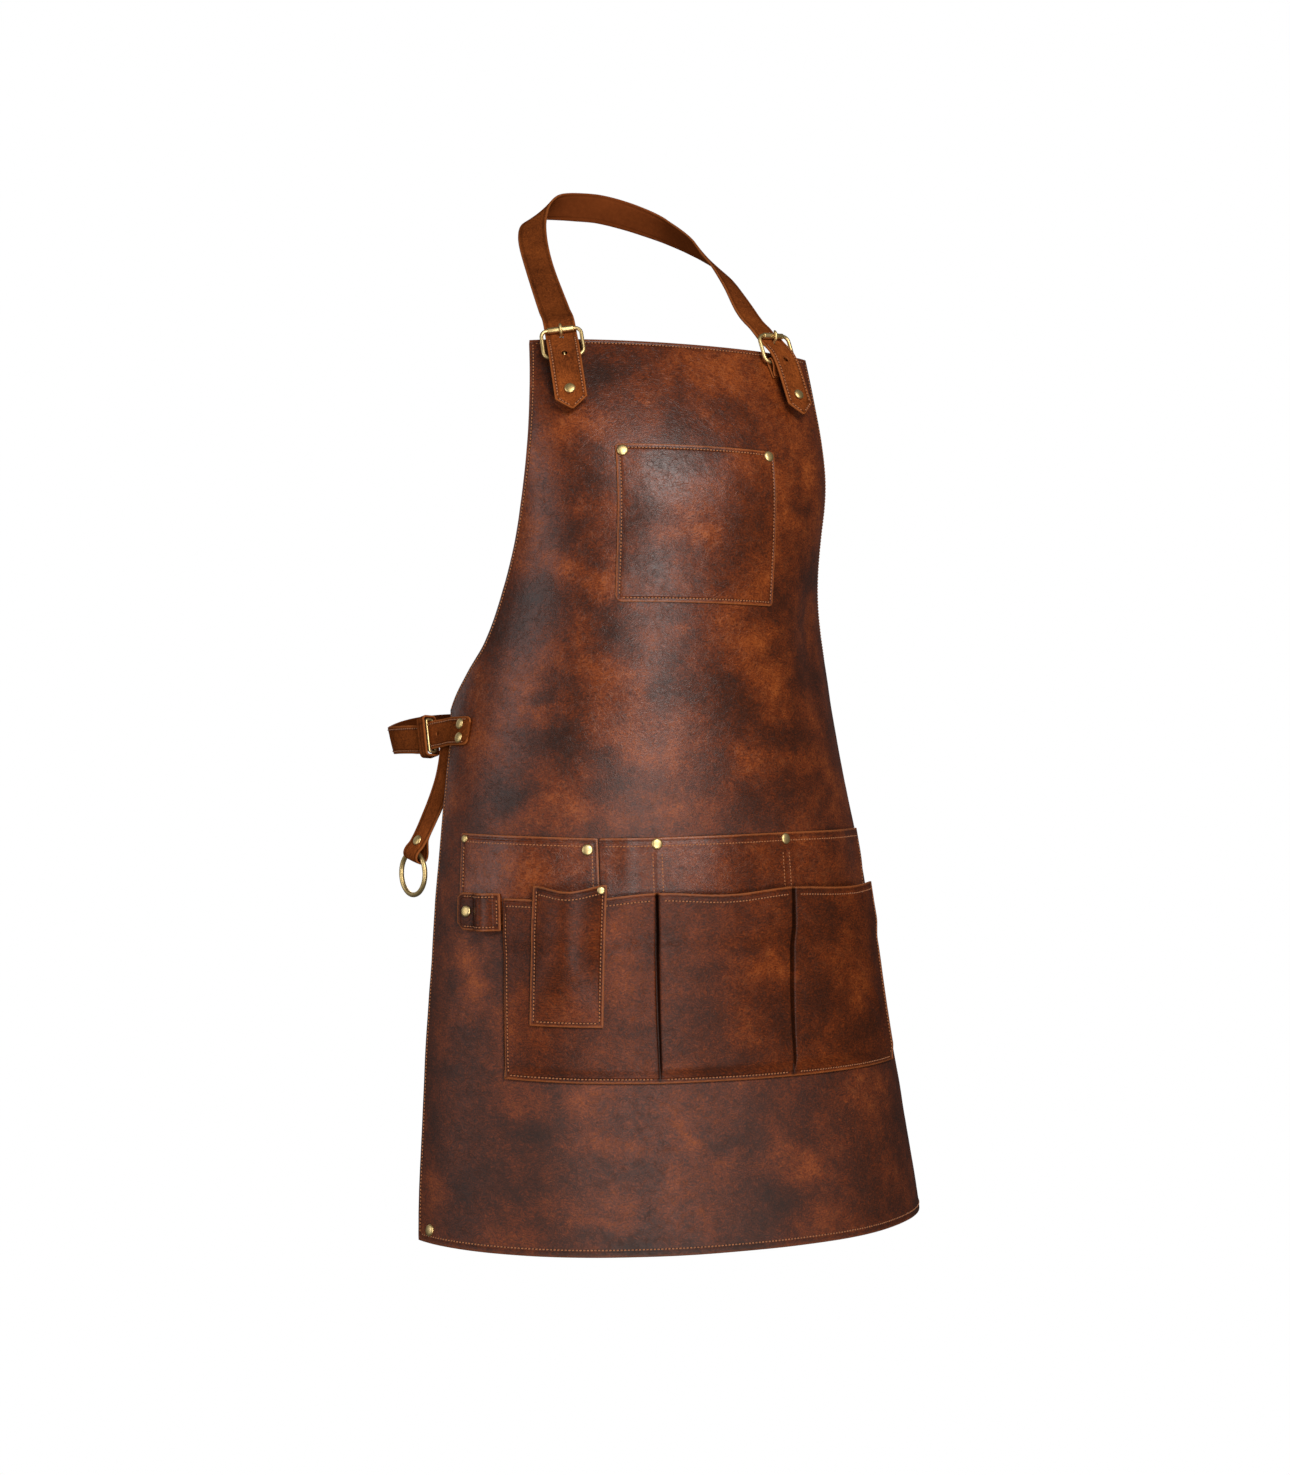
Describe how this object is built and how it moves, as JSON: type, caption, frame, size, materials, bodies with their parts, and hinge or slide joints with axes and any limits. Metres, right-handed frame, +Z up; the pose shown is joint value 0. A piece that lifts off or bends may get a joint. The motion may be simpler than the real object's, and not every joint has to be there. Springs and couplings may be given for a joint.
{
  "type": "leather work apron",
  "caption": "Worn leather work apron: wrapped panel with bib, breast pocket, pleated tool pockets, pen loop, buckled neck strap, waist strap and a hanging brass ring.",
  "frame": {"origin": "inner face of the neck strap at the nape, where the apron hangs", "axes": "+Z up, the wearer faces -Y, +X to the wearer's left"},
  "size_m": [0.5012, 0.4756, 1.0431],
  "materials": {
    "panel_leather": "waxed pull-up, dark brown with tan mottling",
    "pocket_leather": "waxed pull-up, brown with tan mottling",
    "strap_leather": "smooth reddish tan",
    "brass": "antique satin"
  },
  "bodies": {
    "apron": {"apron_panel": "panel_leather", "bib_pocket": "pocket_leather", "upper_pocket_left": "pocket_leather", "upper_pocket_right": "pocket_leather", "lower_pocket_row": "pocket_leather", "slim_pocket": "pocket_leather", "pen_loop": "pocket_leather", "rivet_bib_left": "brass", "rivet_bib_right": "brass", "rivet_strip_end": "brass", "rivet_strip_split": "brass", "rivet_strip_middle": "brass", "rivet_strip_right": "brass", "rivet_slim_pocket": "brass", "rivet_pen_loop": "brass", "rivet_hem_left": "brass", "neck_strap": "strap_leather", "buckle_frame_left": "brass", "buckle_roller_left": "brass", "buckle_prong_left": "brass", "buckle_tab_left": "strap_leather", "rivet_tail_left": "brass", "buckle_frame_right": "brass", "buckle_roller_right": "brass", "buckle_prong_right": "brass", "buckle_tab_right": "strap_leather", "rivet_tail_right": "brass", "waist_strap": "strap_leather", "rivet_waist_upper_left": "brass", "rivet_waist_lower_left": "brass", "rivet_waist_upper_right": "brass", "rivet_waist_lower_right": "brass", "waist_keeper": "strap_leather", "waist_slide": "brass", "ring_hanger": "strap_leather", "rivet_hanger": "brass"},
    "ring": {"hanging_ring": "brass"}
  },
  "joints": [
    {"name": "ring_swing", "type": "hinge", "parent": "apron", "child": "ring", "pos_m": [-0.22887, -0.14169, -0.68341], "axis": [0.3346, -0.9135, -0.2313], "range_deg": [-75, 75]}
  ]
}
